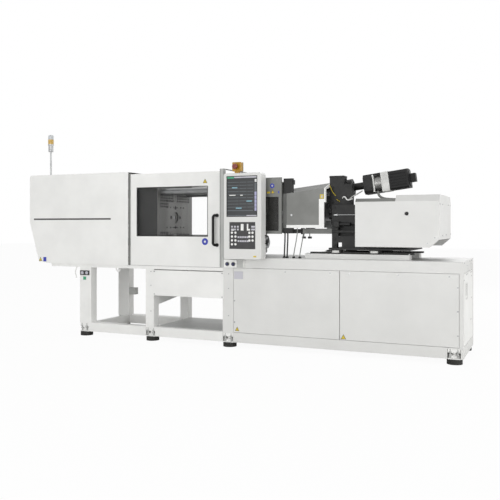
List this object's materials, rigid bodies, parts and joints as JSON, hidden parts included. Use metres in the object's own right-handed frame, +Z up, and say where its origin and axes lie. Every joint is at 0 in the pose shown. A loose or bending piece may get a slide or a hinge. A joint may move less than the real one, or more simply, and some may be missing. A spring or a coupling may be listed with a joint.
{
  "type": "injection moulding machine",
  "caption": "Horizontal plastic injection moulding machine: hooded clamp with sliding doors, swivelling operator panel, inclined feed screw and plunger unit on a panelled base.",
  "frame": {"origin": "on the floor, below the middle of the machine's overall box", "axes": "+X from the clamp to the injection unit, -Y towards the operator, +Z up"},
  "size_m": [4.59, 1.05, 2.172],
  "materials": {
    "white_enamel": "powder-coated sheet and steel",
    "panel_enamel": "powder-coated sheet, slightly greyer",
    "guard_grey": "grey powder coat",
    "post_grey": "light grey paint",
    "black_enamel": "satin black paint on castings",
    "platen_iron": "machined and oiled cast iron",
    "ground_steel": "ground and zinc-plated steel",
    "bar_chrome": "hard chrome on ground bars",
    "cast_aluminium": "cast and machined aluminium",
    "foot_rubber": "moulded black rubber",
    "clear_sheet": "clear polycarbonate sheet",
    "dark_sheet": "smoked polycarbonate sheet",
    "black_plastic": "moulded black plastic",
    "screen_glass": "display behind glass",
    "key_sheet": "printed membrane sheet",
    "amber_lens": "moulded amber lens",
    "clear_cap": "milky clear cap",
    "yellow_plastic": "moulded yellow plastic",
    "red_plastic": "moulded red plastic",
    "cable_rubber": "cable jacket"
  },
  "bodies": {
    "frame": {"clamp_stand": "white_enamel", "clamp_bed": "platen_iron", "base_frame": "white_enamel", "levelling_jacks": "ground_steel", "rubber_feet": "foot_rubber", "front_panels": "panel_enamel", "rear_panels": "panel_enamel", "end_panel": "white_enamel", "panel_screws": "ground_steel", "floor_tray": "post_grey", "parts_chute": "white_enamel", "clamp_hood": "white_enamel", "door_posts": "post_grey", "door_tracks": "ground_steel", "end_platen": "platen_iron", "fixed_platen": "platen_iron", "tie_bars": "bar_chrome", "clamp_cylinder": "platen_iron", "tower_pole": "ground_steel", "tower_lens": "amber_lens", "tower_cap": "clear_cap", "console_post": "post_grey", "button_box": "white_enamel", "fittings": "post_grey", "carriage_rails": "ground_steel", "purge_guard": "guard_grey"},
    "front_gate": {"front_door": "white_enamel", "front_window": "clear_sheet", "front_handle": "black_plastic"},
    "rear_gate": {"rear_door": "white_enamel", "rear_window": "clear_sheet", "rear_handle": "black_plastic"},
    "clamp": {"moving_platen": "platen_iron", "clamp_ram": "bar_chrome"},
    "ejector": {"ejector_rod": "bar_chrome"},
    "console": {"console_housing": "white_enamel", "console_screen": "screen_glass", "console_keypad": "key_sheet", "stop_box": "yellow_plastic"},
    "stop_head": {"stop_button": "red_plastic"},
    "start_head": {"start_button": "black_plastic"},
    "reset_head": {"reset_button": "black_plastic"},
    "unit": {"carriage": "black_enamel", "injection_housing": "black_enamel", "injection_barrel": "ground_steel", "injection_drive": "black_enamel", "feed_barrel": "ground_steel", "screw_gearbox": "black_enamel", "motor_adapter": "cast_aluminium", "servo_motor": "black_enamel", "barrel_shroud": "black_enamel", "barrel_tunnel": "guard_grey", "tunnel_frame": "white_enamel", "injection_cover": "panel_enamel", "touch_cylinder": "guard_grey", "unit_leads": "cable_rubber"},
    "plunger": {"injection_plunger": "bar_chrome"},
    "screw": {"feed_screw": "ground_steel"},
    "purge_gate": {"purge_door": "guard_grey", "purge_window": "dark_sheet"}
  },
  "joints": [
    {"name": "front_door_slide", "type": "slide", "parent": "frame", "child": "front_gate", "axis": [-1, 0, 0], "range_m": [0, 0.93]},
    {"name": "rear_door_slide", "type": "slide", "parent": "frame", "child": "rear_gate", "axis": [-1, 0, 0], "range_m": [0, 0.93]},
    {"name": "clamp_slide", "type": "slide", "parent": "frame", "child": "clamp", "axis": [1, 0, 0], "range_m": [0, 0.48]},
    {"name": "ejector_slide", "type": "slide", "parent": "clamp", "child": "ejector", "axis": [1, 0, 0], "range_m": [0, 0.1]},
    {"name": "unit_slide", "type": "slide", "parent": "frame", "child": "unit", "axis": [1, 0, 0], "range_m": [0, 0.2]},
    {"name": "plunger_slide", "type": "slide", "parent": "unit", "child": "plunger", "axis": [1, 0, 0], "range_m": [0, 0.12]},
    {"name": "screw_turn", "type": "hinge", "parent": "unit", "child": "screw", "pos_m": [1.368, 0.065, 1.543], "axis": [0.991, 0, 0.134], "continuous": true},
    {"name": "console_swivel", "type": "hinge", "parent": "frame", "child": "console", "pos_m": [0.17, -0.349, 1.25], "axis": [0, 0, -1], "range_deg": [0, 50]},
    {"name": "stop_push", "type": "slide", "parent": "console", "child": "stop_head", "axis": [0, 1, 0], "range_m": [0, 0.006], "stiffness_N_per_m": 1500, "springref_m": -0.004},
    {"name": "start_push", "type": "slide", "parent": "frame", "child": "start_head", "axis": [0, 1, 0], "range_m": [0, 0.004], "stiffness_N_per_m": 800, "springref_m": -0.003},
    {"name": "reset_push", "type": "slide", "parent": "frame", "child": "reset_head", "axis": [0, 1, 0], "range_m": [0, 0.004], "stiffness_N_per_m": 800, "springref_m": -0.003},
    {"name": "purge_door_slide", "type": "slide", "parent": "frame", "child": "purge_gate", "axis": [-1, 0, 0], "range_m": [0, 0.19]}
  ]
}
